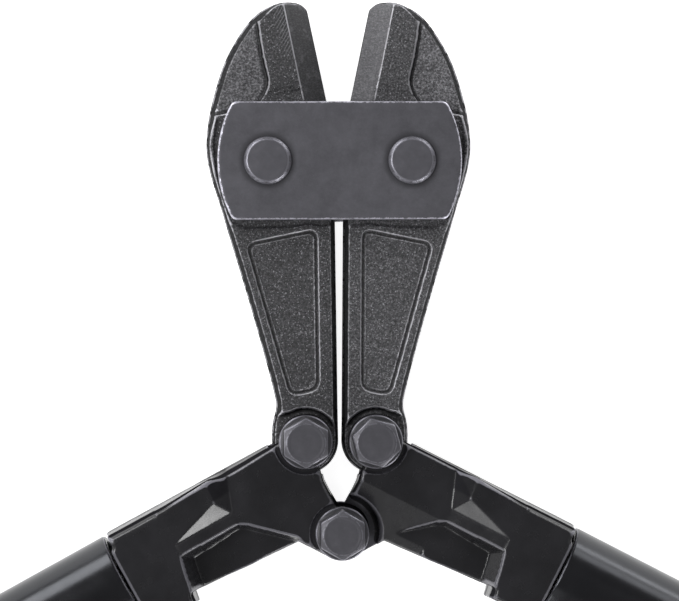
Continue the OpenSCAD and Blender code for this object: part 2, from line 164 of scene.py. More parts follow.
def outline_distance(segments, x, y):
    """Signed distance to an outline over a grid, negative inside"""
    near = np.full(x.shape, 1e9)
    inside = np.zeros(x.shape, bool)
    for (ax, ay), (bx, by) in segments:
        ex, ey = bx - ax, by - ay
        part = np.clip(((x - ax) * ex + (y - ay) * ey) / (ex * ex + ey * ey), 0, 1)
        near = np.minimum(near, (x - ax - part * ex) ** 2 + (y - ay - part * ey) ** 2)
        if ey:
            inside ^= ((ay > y) != (by > y)) & (x < ax + (y - ay) * ex / ey)
    return np.where(inside, -1, 1) * np.sqrt(near)


def cross(p, q):
    return p[0] * q[1] - p[1] * q[0]


def top_faces(faces, xs, ys):
    """Height of the highest face over each point of a grid, nan where there is none"""
    top = np.full((len(xs), len(ys)), -np.inf)
    step = xs[1] - xs[0]
    for face in faces:
        a, b, c = face
        area = cross(b - a, c - a)
        if abs(area) < 1e-9:
            continue
        low, high = face.min(0), face.max(0)
        i0, j0 = (max(int((low[i] - axis[0]) / step), 0) for i, axis in enumerate((xs, ys)))
        i1, j1 = (int((high[i] - axis[0]) / step) + 2 for i, axis in enumerate((xs, ys)))
        x, y = xs[i0:i1, None] - a[0], ys[None, j0:j1] - a[1]
        if not x.size or not y.size:
            continue
        u, v = cross((x, y), c - a) / area, cross(b - a, (x, y)) / area
        height = a[2] + u * (b[2] - a[2]) + v * (c[2] - a[2])
        covered = (u >= -1e-9) & (v >= -1e-9) & (u + v <= 1 + 1e-9)
        part = top[i0:i1, j0:j1]
        np.maximum(part, np.where(covered, height, -np.inf), out=part)
    top[np.isinf(top)] = np.nan
    return top


# -------- fields and their skins

def blurred(values, sigma):
    """Gaussian blur along every axis, with sigma in cells"""
    reach = int(math.ceil(2.5 * sigma))
    weights = np.exp(-0.5 * (np.arange(-reach, reach + 1) / sigma) ** 2)
    weights /= weights.sum()
    for axis in range(values.ndim):
        size = values.shape[axis]
        border = [(reach, reach) if a == axis else (0, 0) for a in range(values.ndim)]
        wide = np.pad(values, border, mode="edge")
        values = sum(w * np.take(wide, np.arange(i, i + size), axis) for i, w in enumerate(weights))
    return values


def filled(values, sigma):
    """Blur that leaves out the places that hold nan, and fills them from their neighbours"""
    known = ~np.isnan(values)
    wide = np.where(known, values, 0.0)
    result, reached = np.zeros(values.shape), np.zeros(values.shape, bool)
    for spread in (sigma, 4, 16):
        weight = blurred(known.astype(float), spread)
        nearby = blurred(wide, spread) / np.maximum(weight, 1e-12)
        result = np.where(reached, result, nearby)
        reached |= weight > 1e-6
        if reached.all():
            break
    return result


def soft_max(a, b, width):
    """The greater of two fields, with the edge between them rounded over a width"""
    meet = np.maximum(width - np.abs(a - b), 0) / width
    return np.maximum(a, b) + meet * meet * width / 4


def smooth(low, high, value):
    """0 at low and beyond it, 1 at high and beyond it, and a smooth step between"""
    part = np.clip((value - low) / (high - low), 0, 1)
    return part * part * (3 - 2 * part)


def ridge(distance, width):
    """A bell: 1 where the distance is 0, falling away on both sides"""
    return np.exp(-(distance / width) ** 2)


def away_from(centre, x, y):
    """Distance from an upright axis"""
    return np.hypot(x - centre[0], y - centre[1])


class Grid:
    """Evenly spaced points around a box, with the fields that are worked out on them"""

    def __init__(self, low, high, step, room=3):
        self.step = step
        self.low = np.floor(np.array(low) / step) * step - room * step
        count = np.ceil((np.array(high) - self.low) / step).astype(int) + room
        self.axes = [self.low[i] + step * np.arange(count[i]) for i in range(3)]
        self.x, self.y = np.meshgrid(self.axes[0], self.axes[1], indexing="ij")
        self.z = self.axes[2][None, None, :]

    def at_all_heights(self, values):
        """A map over x and y as a field, the same at every height"""
        return np.broadcast_to(values[:, :, None], values.shape + (self.z.size,))

    def surface(self, faces, fine=4):
        """Height map of the highest faces, each value an average over a small square"""
        xs, ys = (
            axis[0] - self.step / 2 + self.step * (np.arange(len(axis) * fine) + 0.5) / fine
            for axis in self.axes[:2]
        )
        top = top_faces(faces, xs, ys).reshape(len(self.axes[0]), fine, len(self.axes[1]), fine)
        known = ~np.isnan(top)
        count = known.sum((1, 3))
        total = np.where(known, top, 0).sum((1, 3))
        return np.where(count > 0, total / np.maximum(count, 1), np.nan)


def sampled(field, places):
    """Values of a field at fractional cell places"""
    base = np.clip(np.floor(places).astype(int), 0, np.array(field.shape) - 2)
    part = places - base
    total = np.zeros(len(places))
    for corner in np.ndindex(2, 2, 2):
        weight = np.prod(np.where(corner, part, 1 - part), axis=1)
        index = base + corner
        total += weight * field[index[:, 0], index[:, 1], index[:, 2]]
    return total


def surface_places(field, cells):
    """Cell places on the surface: the middle of each cell's crossings, moved down the field's slope"""
    total, count = np.zeros((len(cells), 3)), np.zeros(len(cells))
    for axis in range(3):
        unit = np.eye(3, dtype=int)[axis]
        for sides in np.ndindex(2, 2):
            offset = np.insert(np.array(sides), axis, 0)
            a = field[tuple((cells + offset).T)]
            b = field[tuple((cells + offset + unit).T)]
            crossed = (a < 0) != (b < 0)
            part = np.where(crossed, a / np.where(crossed, a - b, 1), 0)
            total += crossed[:, None] * (offset + part[:, None] * unit)
            count += crossed
    places = cells + total / count[:, None]
    slopes = np.gradient(field)
    for _ in range(2):
        value = sampled(field, places)
        slope = np.stack([sampled(part, places) for part in slopes], axis=1)
        move = value[:, None] * slope / np.maximum((slope ** 2).sum(1), 0.02)[:, None]
        places = places - np.clip(move, -0.3, 0.3)
    return places


def surface_quads(inside, number):
    """Quads around every grid edge that the surface crosses, with their outer side out"""
    unit, quads = np.eye(3, dtype=int), []
    for axis in range(3):
        one, two = (axis + 1) % 3, (axis + 2) % 3
        edges = np.argwhere(np.diff(inside, axis=axis))
        edges = edges[(edges[:, one] > 0) & (edges[:, two] > 0)]
        ring = np.stack([
            number[tuple((edges + s * unit[one] + t * unit[two]).T)]
            for s, t in ((-1, -1), (0, -1), (0, 0), (-1, 0))
        ], axis=1)
        out = inside[tuple(edges.T)]
        quads.append(np.where(out[:, None], ring, ring[:, ::-1]))
    return np.concatenate(quads)


def skin(field, grid):
    """Vertices in mm, quads, and cell places of the surface where a field is zero"""
    inside = field < 0
    nx, ny, nz = np.array(field.shape) - 1
    near = np.ndindex(2, 2, 2)
    corners = sum(inside[i:i + nx, j:j + ny, k:k + nz].astype(np.int8) for i, j, k in near)
    cells = np.argwhere((corners > 0) & (corners < 8))
    number = np.full(corners.shape, -1, np.int32)
    number[tuple(cells.T)] = np.arange(len(cells))
    places = surface_places(field, cells)
    return places * grid.step + grid.low, surface_quads(inside, number), places


def edges_and_hollows(field, places, step, reach):
    """How sharply the surface bends at each vertex: above 0 on outer edges, below 0 in hollows"""
    bend = sampled(blurred(np.clip(field, -3 * reach, 3 * reach), reach / step), places)
    return bend / reach


def worn_skin(field, grid, reach):
    """Shape of the surface where a field is zero, with its bends as vertex values"""
    points, quads, places = skin(field, grid)
    return points, quads, dict(bend=edges_and_hollows(field, places, grid.step, reach))


def waves(points, amount, shortest, longest, seed, count=28):
    """Smooth uneven relief as a sum of waves in seeded directions"""
    chance = np.random.default_rng(seed)
    total = np.zeros(len(points))
    for _ in range(count):
        way = chance.normal(size=3)
        length = shortest * (longest / shortest) ** chance.random()
        way *= 2 * math.pi / length / np.linalg.norm(way)
        total += np.sin(points @ way + chance.random() * 2 * math.pi) * (length / longest) ** 0.7
    return total * amount / math.sqrt(count / 2)


# -------- pieces

def placed(name, data, matrix):
    """A new object in the scene, with its place in metres"""
    made = bpy.data.objects.new(name, data)
    made.matrix_world = matrix
    bpy.context.scene.collection.objects.link(made)
    return made


def piece(name, shape, material, place, node):
    """A mesh object from (points in mm, faces, vertex values), set in place on its node's body"""
    points, faces, values = shape
    mesh = bpy.data.meshes.new(name)
    mesh.from_pydata((points * 0.001).tolist(), [], [[int(p) for p in face] for face in faces])
    mesh.update()
    mesh.shade_smooth()
    for key, numbers in values.items():
        mesh.attributes.new(key, "FLOAT", "POINT").data.foreach_set("value", np.asarray(numbers, np.float32))
    mesh.materials.append(material)
    in_metres = place.copy()
    in_metres[:3, 3] *= 0.001
    made = placed(name, mesh, Matrix(in_metres.tolist()))
    body = BODY_OF[node]
    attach(made, body)
    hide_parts(node)


def vertex_normals(points, quads):
    """Unit normals from the quads around each vertex"""
    a, b, c, d = (points[quads[:, i]] for i in range(4))
    face = np.cross(c - a, d - b)
    total = np.zeros_like(points)
    for i in range(4):
        np.add.at(total, quads[:, i], face)
    return total / np.maximum(np.linalg.norm(total, axis=1), 1e-9)[:, None]


# -------- jaws

JAW_STEP = 0.38  # cell size of the jaw's grid
SEAT_REACH = 24  # how far the plates' seat goes from the rivets, up and down
BLADE_FOOT = 15  # height of the blade's lower end above the rivets
BLADE_STEP = 1.3  # from the blade body's face down to the side panel
BEVEL_LINE = -7.15  # where the ground bevel meets the blade's face, across
PANEL_DEPTH = 0.9  # depth of the tail's sunk panel
PANEL_TOP = 21.5  # from the rivets down to where the tail's panel may start
EYE_RADIUS = 13  # radius of the machined face around the link bolt
PARTING_BAND = 1.2  # half the height of the upright band around the parting line
HATCH_PITCH = 0.85  # from one tool mark to the next, beside the left jaw's bevel

# Painted highlight lines (above 0) and painted shade lines (below 0) along the border of the tail's panel: how
# strong, how far inside
TAIL_PAINTED_LINES = [(-0.2, -1.1), (0.2, -0.5), (-0.35, 0.05), (0.2, 0.7)]


def tail_border(faces, grid, half, link, rivet):
    """Distance inside the border of the tail's sunk panel, negative outside"""
    walls = section(faces, half - PANEL_DEPTH / 2)
    at_x, at_y = walls.mean(1).T
    deep = outline_distance(section(faces, 0.05), at_x, at_y) < -2
    clear = away_from(link, at_x, at_y) > EYE_RADIUS
    low = at_y < rivet[1] - PANEL_TOP
    return -outline_distance(walls[deep & clear & low], grid.x, grid.y)


def jaw_height(faces, grid, half, border, in_tail):
    """Height map of the jaw's face above the middle plane"""
    top = grid.surface(faces)
    height = filled(top, 0.5)

    # The seat for the plates ends in a soft slope beside the blade
    in_seat = (np.abs(top - SEAT_HALF) < 0.05) & (np.abs(grid.y) < SEAT_REACH)
    slope = np.clip(2 * blurred(in_seat.astype(float), 4.5), 0, 1)
    beside_blade = smooth(BLADE_FOOT, BLADE_FOOT + 2, grid.y) * smooth(-18.5, -17, grid.x)
    beside_blade = beside_blade * (top > half - 0.1)
    height = height - (half - SEAT_HALF) * np.where(in_seat, 0, slope) * beside_blade

    # A groove follows the foot of the raised blade body, and the side panel slopes up to it
    raised = outline_distance(section(faces, half - 0.6), grid.x, grid.y)
    panel = (np.abs(top - (half - BLADE_STEP)) < 0.1) & (grid.y > BLADE_FOOT - 1)
    panel = blurred(panel.astype(float), 0.6)
    height = height - 0.25 * panel * ridge(raised - 0.55, 0.3)
    height = height + 0.18 * panel * ridge(raised - 1.4, 0.5)

    # The tail's panel has a sloping side, a groove at its foot and a low bead
    shaped = half - PANEL_DEPTH * smooth(-0.9, 0.0, border)
    shaped = shaped - 0.2 * ridge(border, 0.25) + 0.3 * ridge(border - 0.45, 0.35)
    return height + (shaped - height) * in_tail


def jaw_walls(faces, grid, link, rivet):
    """Signed distance to the jaw's walls, which lean in above and below the parting band"""
    x, y, z = grid.x, grid.y, grid.z
    outline = outline_distance(section(faces, 0.05), x, y)
    draft = 0.15 + 0.27 * smooth(8, 22, y) * smooth(-9, -15, x) + 0.09 * smooth(-14, -20, y)
    draft = draft * smooth(6.5, 8, away_from(rivet, x, y)) * smooth(4.5, 5.5, away_from(link, x, y))
    draft = draft * (1 - smooth(-3, -1.5, x) * smooth(4, 10, y))
    beyond = np.maximum(np.abs(z) - PARTING_BAND, 0)
    flash = 0.25 * (draft > 0.1)[:, :, None] * smooth(PARTING_BAND - 0.1, PARTING_BAND + 0.5, np.abs(z))
    return outline[:, :, None] + draft[:, :, None] * beyond + flash


def jaw_skin():
    """The left jaw's forging in its closed place, with vertex values for worn edges, painted shade and ground
    faces
    """
    faces = triangles("left_jaw", jaw_place(0))
    grid = Grid(*box_of(faces), JAW_STEP)
    half = faces[:, :, 2].max()
    link = put(np.linalg.inv(jaw_place(0)), LINKS[0][None])[0]
    rivet = RIVETS[0] - PLATE_MIDDLE
    border = tail_border(faces, grid, half, link, rivet)
    in_tail = smooth(-2.6, -2.0, border)
    height = jaw_height(faces, grid, half, border, in_tail)
    walls = jaw_walls(faces, grid, link, rivet)
    field = soft_max(walls, np.abs(grid.z) - height[:, :, None], 0.4)
    points, quads, places = skin(field, grid)

    # The bevel's ground face and the machined eye have no forged relief
    normals = vertex_normals(points, quads)
    x, y, z = points.T
    high = np.abs(z)
    ground = smooth(0.45, 0.6, normals[:, 0]) * smooth(11, 13, y) * smooth(0.3, 0.6, high)
    past_eye = smooth(EYE_RADIUS + 0.2, EYE_RADIUS + 1.2, away_from(link, x, y))
    in_eye = 1 - past_eye * smooth(4.3, 4.8, high)
    relief = waves(points, 0.05, 2.0, 11.0, seed=3) * (1 - np.maximum(ground, in_eye))
    points = points + normals * relief[:, None]

    # Values for the material: worn edges and hollows, painted highlight and shade lines on the tail's panel, and
    # steep walls that get painted shade
    on_top = smooth(half - 1.8, half - 1.4, np.abs(points[:, 2]))
    # Painted highlight and shade lines, added to the bend so that they come out as bright worn lines and dark
    # hollows
    painted_tail_lines = sum(part * ridge(border - place, 0.24) for part, place in TAIL_PAINTED_LINES)
    bend = edges_and_hollows(field, places, grid.step, 0.4)
    bend = bend + sampled(grid.at_all_heights(painted_tail_lines * in_tail), places) * on_top
    panel_side = in_tail * smooth(1.6, 1.2, border)
    # Painted shade: walls that face sideways are darkened in the material, all but the inner walls of the tail's
    # panel
    painted_wall_shade = smooth(0.9, 0.6, np.abs(normals[:, 2])) * (1 - ground)
    painted_wall_shade = painted_wall_shade * (1 - sampled(grid.at_all_heights(panel_side), places) * on_top)
    return points, quads, dict(bend=bend, ground=ground, painted_wall_shade=painted_wall_shade)


def jaws(materials):
    shape = jaw_skin()
    for side, name in enumerate(SIDES):
        piece(name + "_jaw_forging", shape, materials[side], jaw_place(side), name + "_jaw")


# -------- handle heads

HEAD_STEP = 0.35  # cell size of the head's grid
COLLAR_GAP = 0.7  # between the collar's end and the tube's start
EYE_REACH = 12.5  # radius of the machined faces around the two bolts
SPOT_RADIUS = 9.3  # radius of the spot faces under the bolts' flanges
EAR_RADIUS = 8.9  # radius of the ears at the link bolt
FORGED_WALL = 2.8  # fall to run of the walls between the faces
SHOULDER_START, SHOULDER_TOP = 24.5, 31.6  # along the tube, where the web's face rises to the collar's
STATIONS = (26, 31, 46)  # along the tube: web, shoulder and collar, for the next two rows
FRONT_DRAFT = (0.085, 0.0, 0.078)
EDGE_ROUNDING = (0.7, 0.45, 1.3)
BACK_DRAFT = 0.11


def drafted(height, slope, reach):
    """A head's height map, in which every wall leans out by the slope, as far as the reach"""
    for _ in range(int(reach / HEAD_STEP)):
        wide = np.pad(height, 1, mode="edge")
        for i, j in np.ndindex(3, 3):
            drop = slope * HEAD_STEP * math.hypot(i - 1, j - 1)
            height = np.maximum(height, wide[i:i + height.shape[0], j:j + height.shape[1]] - drop)
    return height


def head_half(faces, grid, centre):
    """Height map and outline of the half of a head that faces up"""
    x, y = grid.x, grid.y
    height = filled(grid.surface(faces), 0.45)
    machined = np.minimum(np.hypot(x, y), away_from(centre, x, y)) < EYE_REACH
    height = np.where(machined, height, drafted(height, FORGED_WALL, 4.0))
    near_middle, near_face = (outline_distance(section(faces, level), x, y) for level in (0.5, 5))
    return blurred(height, 0.55), np.minimum(near_middle, near_face)


def head_walls(grid, side, front_height, outlines):
    """Signed distance to a head's walls, with the draft of its front and back half"""
    x, y, z = grid.x, grid.y, grid.z
    wall = np.where(z > 0, outlines[0][:, :, None], outlines[1][:, :, None])
    front = z * (1, -1)[side]
    draft = np.where(front > 0, np.interp(x, STATIONS, FRONT_DRAFT)[:, :, None], BACK_DRAFT)
    flash = 0.2 * smooth(1.1, 1.7, np.abs(z))
    wall = wall + draft * np.maximum(np.abs(z) - PARTING_BAND, 0) + flash

    # The web's upper edge leans in, most of all beside the shoulder
    leaning = (0.3 + 0.9 * smooth(8, SHOULDER_START, x)) * smooth(SHOULDER_TOP, SHOULDER_START, x)
    leaning = leaning * smooth(3, 8, x) * smooth(2, -4, y)
    return wall + leaning[:, :, None] * np.clip(z / front_height[:, :, None], 0, 1)


def head_skin(side):
    """A handle head's forging in its own frame, with vertex values for worn edges and painted shade on walls"""
    place = head_place(side)
    faces = triangles(SIDES[side] + "_handle_head", place)
    centre = put(np.linalg.inv(place), middle("centre_bolt")[None])[0]
    collar_end = extent(side, "tube")[0] - COLLAR_GAP
    low, high = box_of(faces)
    high[0] = collar_end + 1
    grid = Grid(low, high, HEAD_STEP)
    halves = [head_half(half, grid, centre) for half in (faces, faces * [1, 1, -1])]
    heights, outlines = zip(*halves)

    walls = head_walls(grid, side, heights[0], outlines)
    face = np.maximum(grid.z - heights[0][:, :, None], -grid.z - heights[1][:, :, None])
    field = soft_max(walls, face, np.interp(grid.x, STATIONS, EDGE_ROUNDING)[:, :, None])
    field = soft_max(field, (grid.x - collar_end)[:, :, None], 1.0)

    # The fork's slot, measured from the node
    fork = np.linalg.norm(section(faces, 0.01).reshape(-1, 2), axis=1).min()
    ears = faces.reshape(-1, 3)
    ears = ears[np.hypot(ears[:, 0], ears[:, 1]) < EAR_RADIUS]
    ear_inner = ears[(ears[:, 2] > 1) & (ears[:, 2] < 6), 2].min()
    slot = np.maximum((np.hypot(grid.x, grid.y) - fork)[:, :, None], np.abs(grid.z) - ear_inner)
    field = soft_max(field, -slot, 0.4)
    points, quads, places = skin(field, grid)

    # Values for the material: worn edges, rims of the spot faces, and places that get painted shade
    normals = vertex_normals(points, quads)
    upright = np.abs(normals[:, 2])
    bend = edges_and_hollows(field, places, grid.step, 0.5)
    for eye in (np.zeros(3), centre):
        rim = ridge(away_from(eye, *points.T[:2]) - SPOT_RADIUS - 0.3, 0.3)
        bend = np.maximum(bend, 0.24 * rim * smooth(0.9, 0.96, upright))
    flat = smooth(13, 10, np.hypot(*points.T[:2]))
    points = points + normals * (waves(points, 0.03, 3.0, 16.0, seed=7) * (1 - flat))[:, None]
    under = -sampled(face, places)
    # Painted shade: the upper band of the walls, just below the face, has its reflection turned off
    painted_wall_shade = smooth(0.6, 0.3, upright) * smooth(0.3, 0.8, under) * smooth(8.0, 6.0, under)
    x, y, _ = points.T
    # Painted shade: the step's facet between web and collar has its reflection turned off too
    step_facet_shade = smooth(SHOULDER_START - 1, SHOULDER_START + 1, x) * smooth(34.5, 33, x)
    step_facet_shade = step_facet_shade * smooth(0.985, 0.95, upright) * smooth(2.2, 1.4, y)
    return points, quads, dict(bend=bend, painted_wall_shade=np.maximum(painted_wall_shade, 0.9 * step_facet_shade))


def handle_heads(material):
    for side, name in enumerate(SIDES):
        piece(name + "_head_forging", head_skin(side), material, head_place(side),
              name + "_handle_head")


# -------- fishplates

PLATE_STEP = 0.32  # cell size of the plates' grid


def fishplates(material):
    for node in ("front_fishplate", "rear_fishplate"):
        place = moved(middle(node))
        faces = triangles(node, place)
        low, high = box_of(faces)
        grid = Grid(low, high, PLATE_STEP)
        outline = outline_distance(section(faces, 0.01), grid.x, grid.y)
        field = soft_max(outline[:, :, None], np.abs(grid.z) - high[2], 0.8)
        piece(node.replace("fish", "cover_"), worn_skin(field, grid, 0.5), material, place,
              node)


# -------- turned parts

def rounded(corners, steps=4):
    """Profile points and their edge values from (radius, height, rounding) corners"""
    points, edges = [], []
    for index, (r, h, cut) in enumerate(corners):
        here = np.array([r, h], float)
        if not cut:
            points.append(here)
            edges.append(0.0)
            continue
        ends = []
        for other in (corners[index - 1], corners[(index + 1) % len(corners)]):
            way = np.array(other[:2], float) - here
            ends.append(here + way / np.linalg.norm(way) * min(cut, np.linalg.norm(way) / 2))
        for step in range(steps + 1):
            t = step / steps
            points.append((1 - t) ** 2 * ends[0] + 2 * t * (1 - t) * here + t * t * ends[1])
            edges.append(math.sin(math.pi * t))
    return np.array(points), np.array(edges)


def split_long(profile, edges, longest):
    """The same closed profile with its long sides cut into shorter ones"""
    points, values = [], []
    for a, b, edge in zip(profile, np.roll(profile, -1, axis=0), edges):
        parts = max(int(np.linalg.norm(b - a) / longest), 1)
        for part in range(parts):
            points.append(a + (b - a) * part / parts)
            values.append(edge if part == 0 else 0.0)
    return np.array(points), np.array(values)


TURNED_EDGE = 0.55  # bend value in the middle of a turned part's rounded edges


def lathe(corners, sides=96, longest=4.0):
    """A closed ring or solid turned about Z from its profile, with worn edges marked"""
    profile, edges = split_long(*rounded(corners), longest)
    angles = np.arange(sides) * 2 * math.pi / sides
    points, bend, rows, faces = [], [], [], []
    for (r, h), edge in zip(profile, edges):
        count = sides if r > 1e-6 else 1
        rows.append(len(points) + np.arange(sides) % count)
        points.extend(zip(r * np.cos(angles[:count]), r * np.sin(angles[:count]), [h] * count))
        bend.extend([TURNED_EDGE * edge] * count)
    for one, two in zip(rows, rows[1:] + rows[:1]):
        for ring in zip(one, np.roll(one, -1), np.roll(two, -1), two):
            face = list(dict.fromkeys(ring))
            if len(face) > 2:
                faces.append(face)
    return np.array(points), faces, dict(bend=np.array(bend))


# -------- rivets

RIVET_WAIST = 1.05  # how much less the shank's radius is than the head's
RIVET_CHAMFER = 0.9


def rivets(material):
    plate = box_mm("front_fishplate")[1][2] - MID
    for name in ("left_jaw_rivet", "right_jaw_rivet"):
        radius, top = half_size(name)[0], box_mm(name)[1][2] - MID
        shank, face, rim = radius - RIVET_WAIST, radius - RIVET_CHAMFER, top - RIVET_CHAMFER
        shape = lathe([
            (0, -top, 0), (face, -top, 0.4), (radius, -rim, 0.4), (radius, -plate, 0),
            (shank, -plate, 0), (shank, plate, 0), (radius, plate, 0),
            (radius, rim, 0.4), (face, top, 0.4), (0, top, 0),
        ])
        piece(name + "_pin", shape, material, moved(middle(name)), name)


# -------- bolts, washers and nuts

BOLT_STEP, NUT_STEP = 0.27, 0.3  # cell sizes of their grids
HEX_SIDES = [math.radians(60 * side + 30) for side in range(6)]
HEX_FLATS = 13.0  # across the hexagons' flats
HEX_TILT = 0.52  # slope of the hexagons' end chamfer, in radians
SHANK_RADIUS = 4.0
THREAD_PITCH = 1.25
THREAD_DEPTH = 0.35
THREAD_START = -18  # height of the thread's upper end, from the bolt's seat
FLANGE_RIM = 0.95  # height of the flange at its rim
NUT_REACH = 7.6  # half the width of the nut's grid
NUT_BORE = 4.02
WASHER_BORE = 4.05
NUT_TURN = 11  # from a bolt's head to its nut, in degrees
FASTENERS = {"left_link": 30, "right_link": 45, "centre": 30}  # turn of each head, in degrees


def hexagon_field(grid, face_circle, low, high):
    """Hexagon between two heights, chamfered on top from its face circle and softly rounded"""
    sides = np.full(grid.x.shape, -1e9)
    for angle in HEX_SIDES:
        flat = grid.x * math.cos(angle) + grid.y * math.sin(angle) - HEX_FLATS / 2
        sides = soft_max(sides, flat, 0.35)
    across = np.hypot(grid.x, grid.y)[:, :, None]
    chamfer = (grid.z - high) * math.cos(HEX_TILT) + (across - face_circle) * math.sin(HEX_TILT)
    field = soft_max(np.maximum(sides[:, :, None], low - grid.z), grid.z - high, 0.2)
    return soft_max(field, chamfer, 0.25)


def bolt_shape():
    """A flange bolt along Z: its seat at height 0, its head above, its thread below"""
    flange = half_size("centre_bolt")[0]
    end, head_top = (box[2] - BOLT_SEAT for box in box_mm("centre_bolt"))
    grid = Grid([-flange, -flange, end], [flange, flange, head_top], BOLT_STEP)
    z = grid.z
    across = grid.at_all_heights(np.hypot(grid.x, grid.y))
    head = hexagon_field(grid, HEX_FLATS / 2 - 0.75, 0.3, head_top)
    dish = 0.12 * smooth(5.4, 4.6, across)
    head = np.maximum(head, z - head_top + dish)
    flange_top = FLANGE_RIM + 0.32 * (flange - across)
    flange_ring = soft_max(soft_max(across - flange, z - flange_top, 0.35), -z, 0.15)
    angle = np.arctan2(grid.y, grid.x)[:, :, None]
    turn = (z - angle / (2 * math.pi) * THREAD_PITCH) / THREAD_PITCH
    thread = THREAD_DEPTH * np.abs(2 * (turn - np.floor(turn)) - 1)
    thread = thread * smooth(THREAD_START, THREAD_START - 1, z)
    rod = soft_max(soft_max(across - SHANK_RADIUS + thread, end - z, 0.8), z - 0.5, 0.1)
    return worn_skin(np.minimum(np.minimum(head, flange_ring), rod), grid, 0.45)


def nut_shape():
    """A lock nut that hangs below height 0, with its round collar and an open bore"""
    height = 2 * half_size("centre_nut")[2]
    grid = Grid([-NUT_REACH, -NUT_REACH, 0], [NUT_REACH, NUT_REACH, height], NUT_STEP)
    z = grid.z
    across = grid.at_all_heights(np.hypot(grid.x, grid.y))
    body = hexagon_field(grid, HEX_FLATS / 2 - 0.4, 0.0, height - 1.4)
    collar = soft_max(soft_max(across - HEX_FLATS / 2 + 0.8, z - height, 1.2), -z, 0.2)
    field = soft_max(np.minimum(body, collar), NUT_BORE - across, 0.4)
    points, quads, values = worn_skin(field, grid, 0.45)
    return points * [1, -1, -1], quads, values


def washer_shape(name):
    """A plain washer that stands on height 0, as wide and thick as its node"""
    radius, _, half = half_size(name)
    bore, thick = WASHER_BORE, 2 * half
    return lathe([(bore, 0, 0.2), (radius, 0, 0.35), (radius, thick, 0.35), (bore, thick, 0.2)])


def fasteners(bolt_material, washer_material):
    bolt, nut = bolt_shape(), nut_shape()
    for name, turn in FASTENERS.items():
        x, y, _ = middle(name + "_bolt")
        seat = moved([x, y, BOLT_SEAT]) @ turned(turn)
        piece(name + "_flange_bolt", bolt, bolt_material, seat, name + "_bolt")
        under = moved([x, y, box_mm(name + "_washer")[0][2]])
        nut_place = under @ turned(turn + NUT_TURN)
        piece(name + "_lock_nut", nut, bolt_material, nut_place, name + "_nut")
        piece(name + "_plain_washer", washer_shape(name + "_washer"), washer_material, under,
              name + "_washer")


# -------- handles

TUBE_WALL = 2.0
PUSH_FIT = 0.02  # room between the tube and its end plug or grip
GRIP_RIBS = 9


def along_tube(side, start):
    """From a turned part's own Z axis to the tube's axis, so far from the link bolt"""
    place = head_place(side)
    tube = triangles(SIDES[side] + "_tube", place)
    axis_y = (tube[:, :, 1].min() + tube[:, :, 1].max()) / 2
    lay = np.array(Matrix.Rotation(math.radians(90), 4, "Y"))
    return place @ moved([start, axis_y, 0]) @ lay


def tube_shape(radius, length):
    bore = radius - TUBE_WALL
    corners = [(bore, 0, 0.4), (radius, 0, 0.9), (radius, length, 0.5), (bore, length, 0.3)]
    return lathe(corners, sides=160)


def pin_shape(name):
    """A cross pin with rounded ends, as wide and long as its node"""
    radius, _, half = half_size(name)
    return lathe([(0, -half, 0), (radius, -half, 0.6), (radius, half, 0.6), (0, half, 0)], sides=48)


def grip_shape(length, outer, tube_radius):
    """A rubber sleeve with a collar at its upper end and rounded ribs"""
    rib = outer - 1.2
    root = rib - 1.2
    pitch = length / (GRIP_RIBS + 1)
    bore = tube_radius + PUSH_FIT
    corners = [(bore, 0, 0.2), (outer, 0, 1.0), (outer, 5, 1.0), (root, 6.2, 0.6)]
    for index in range(1, GRIP_RIBS + 1):
        start = index * pitch
        end = start + 0.6 * pitch
        corners += [
            (root, start - 0.4, 0.6), (rib, start + 0.8, 1.0),
            (rib, end - 0.8, 1.0), (root, end + 0.4, 0.6),
        ]
    corners += [(root, length, 0.8), (bore, length, 0.2)]
    return lathe(corners, sides=128, longest=3.0)


def plug_shape(inner, plug, outer, length):
    """An end plug: a stem for the tube's bore, and a wider rounded cap with a shallow dish"""
    return lathe([
        (0, 0, 0), (inner - 1.5, 0, 0.4), (inner, 2, 0.8), (inner, plug, 0),
        (outer - 1.5, plug, 0.5), (outer, plug + 1.5, 0.8), (outer, length - 5, 3),
        (outer - 4, length, 3), (outer - 7, length, 0.4), (outer - 7.8, length - 0.6, 0.4),
        (0, length - 0.6, 0),
    ])


def handles(tube_material, grip_material, cap_material):
    for side, name in enumerate(SIDES):
        start, end, radius = extent(side, "tube")
        tube = tube_shape(radius, end - start)
        piece(name + "_tube_shell", tube, tube_material, along_tube(side, start),
              name + "_tube")

        pin = name + "_tube_pin"
        piece(name + "_cross_pin", pin_shape(pin), tube_material, moved(middle(pin)), pin)

        grip_start, grip_end, grip_radius = extent(side, "grip")
        grip = grip_shape(grip_end - grip_start, grip_radius, radius)
        piece(name + "_grip_sleeve", grip, grip_material, along_tube(side, grip_start),
              name + "_grip")

        cap_start, cap_end, cap_radius = extent(side, "end_cap")
        plug = plug_shape(radius - TUBE_WALL - PUSH_FIT, end - cap_start, cap_radius, cap_end - cap_start)
        piece(name + "_end_plug", plug, cap_material, along_tube(side, cap_start),
              name + "_end_cap")


# -------- materials

